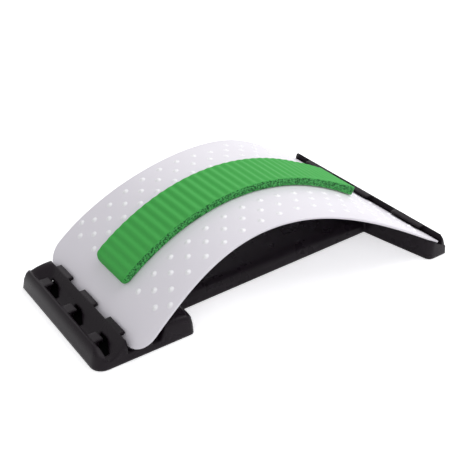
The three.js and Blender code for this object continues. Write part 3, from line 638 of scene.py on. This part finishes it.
def foam_height(s, side):
    """Height over the board: raised-cosine waves, flatter at the strip's edges.

    The strip swells evenly towards its fixed end, and a quarter ellipse rolls each end down.
    """
    phase = (s - FOAM_START) / RIB_PITCH
    depth = GROOVE_DEPTH * np.where(np.abs(side) <= TOP_COLUMNS.max(), 1, GROOVE_EDGE_SHARE)
    swell = SWELL * np.clip((s - FOAM_END) / SWELL_LENGTH + 1, 0, 1)
    full = FOAM_TOP + swell - depth * (1 + np.cos(2 * math.pi * phase)) / 2
    roll = np.minimum((s - FOAM_START) / STEP_END_ROLL, (FOAM_END - s) / FIXED_END_ROLL)
    edge = FOAM_LOW + END_LIP
    return edge + (full - edge) * np.sqrt(1 - (1 - np.clip(roll, 0, 1)) ** 2)


def foam_block():
    """At each place along the strip, a ring: cut sides, softly edged top and flat underside.

    Towards the adjustable end the top's edges draw in by the square of how far the lean has come.
    """
    turn = np.linspace(0, math.pi / 2, CORNER_TURNS)[:-1]
    s = np.concatenate([
        FOAM_START + FOAM_CORNER * (1 - np.cos(turn)),
        np.linspace(FOAM_START + FOAM_CORNER, FOAM_END - FOAM_CORNER, FOAM_ROWS),
        (FOAM_END - FOAM_CORNER * (1 - np.cos(turn)))[::-1],
    ])[:, None]
    half = FOAM_HALF_WIDTH - rounding(s - FOAM_START, FOAM_CORNER) - rounding(FOAM_END - s, FOAM_CORNER)
    lean = np.clip((FOAM_START + LEAN_LENGTH - s) / LEAN_LENGTH, 0, 1) ** 2
    edge = FOAM_EDGE + END_LEAN * lean
    bend = np.radians(EDGE_ANGLES)
    curve_in = 1 - np.cos(bend)
    curve_up = np.sin(bend)
    up = np.linspace(0, 1, SIDE_POINTS)
    across = np.ones(len(TOP_COLUMNS))
    round_edge = np.ones(len(bend))
    low = np.zeros(SIDE_POINTS + len(UNDER_COLUMNS))
    wall = np.ones(SIDE_POINTS + len(bend))
    level = np.concatenate([up, round_edge, across, round_edge, up[::-1], 0 * UNDER_COLUMNS])
    inset = np.concatenate([0 * up, curve_in, across, curve_in[::-1], low])
    rise = np.concatenate([0 * up, curve_up, across, curve_up[::-1], low])
    side = np.concatenate([-wall, TOP_COLUMNS, wall, UNDER_COLUMNS])
    top = foam_height(s, side)
    y = side * (half - inset * edge)
    off = FOAM_LOW + level * (top - FOAM_EDGE - FOAM_LOW) + rise * FOAM_EDGE
    points, faces = closed_skin(on_arch(s, y, off))
    return points, [face[::-1] for face in faces]


def green_foam():
    """Closed-cell foam: an even skin on top, and cut sides speckled with dark open cells."""
    material, tree = new_material("green_closed_cell_foam")
    place = add_node(tree, "ShaderNodeTexCoord").outputs["Object"]
    normal = add_node(tree, "ShaderNodeNewGeometry").outputs["True Normal"]
    facing = add_node(tree, "ShaderNodeSeparateXYZ", {0: normal})
    sideways = add_node(tree, "ShaderNodeMath", {0: facing.outputs["Y"]}, operation="ABSOLUTE")
    cut = add_node(tree, "ShaderNodeMapRange", {"Value": sideways.outputs[0]}, From_Min=0.75)
    cut.inputs["From Max"].default_value = 0.95
    cells = add_node(tree, "ShaderNodeTexNoise", {"Vector": place}, Scale=1 / FOAM_CELL, Detail=2.0)
    solid = add_node(tree, "ShaderNodeMapRange", {"Value": cells.outputs["Fac"]}, From_Min=0.45)
    solid.inputs["From Max"].default_value = 0.54
    sided = add_node(tree, "ShaderNodeMix", {"Factor": solid.outputs["Result"]}, data_type="RGBA")
    sided.inputs["A"].default_value = linear(FOAM_CELL_HEX)
    sided.inputs["B"].default_value = linear(FOAM_CUT_HEX)
    colour = add_node(tree, "ShaderNodeMix", {"Factor": cut.outputs["Result"]}, data_type="RGBA")
    colour.inputs["A"].default_value = linear(FOAM_TOP_HEX)
    tree.links.new(sided.outputs["Result"], colour.inputs["B"])
    pitted = {0: cells.outputs["Fac"], 1: cut.outputs["Result"]}
    pits = add_node(tree, "ShaderNodeMath", pitted, operation="MULTIPLY")
    bump = add_node(tree, "ShaderNodeBump", {"Height": pits.outputs[0]}, Strength=0.7, Distance=0.5 * MM)
    body = add_node(
        tree,
        "ShaderNodeBsdfPrincipled",
        {"Base Color": colour.outputs["Result"], "Normal": bump.outputs["Normal"]},
        Roughness=0.62,
        Specular_IOR_Level=0.25,
    )
    add_node(tree, "ShaderNodeOutputMaterial", {"Surface": body.outputs[0]})
    return material


foam = mesh_object("ribbed_foam", *foam_block(), FOAM_SHARP_ANGLE)
foam.data.materials.append(green_foam())
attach(foam, "board")
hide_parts("foam_strip")
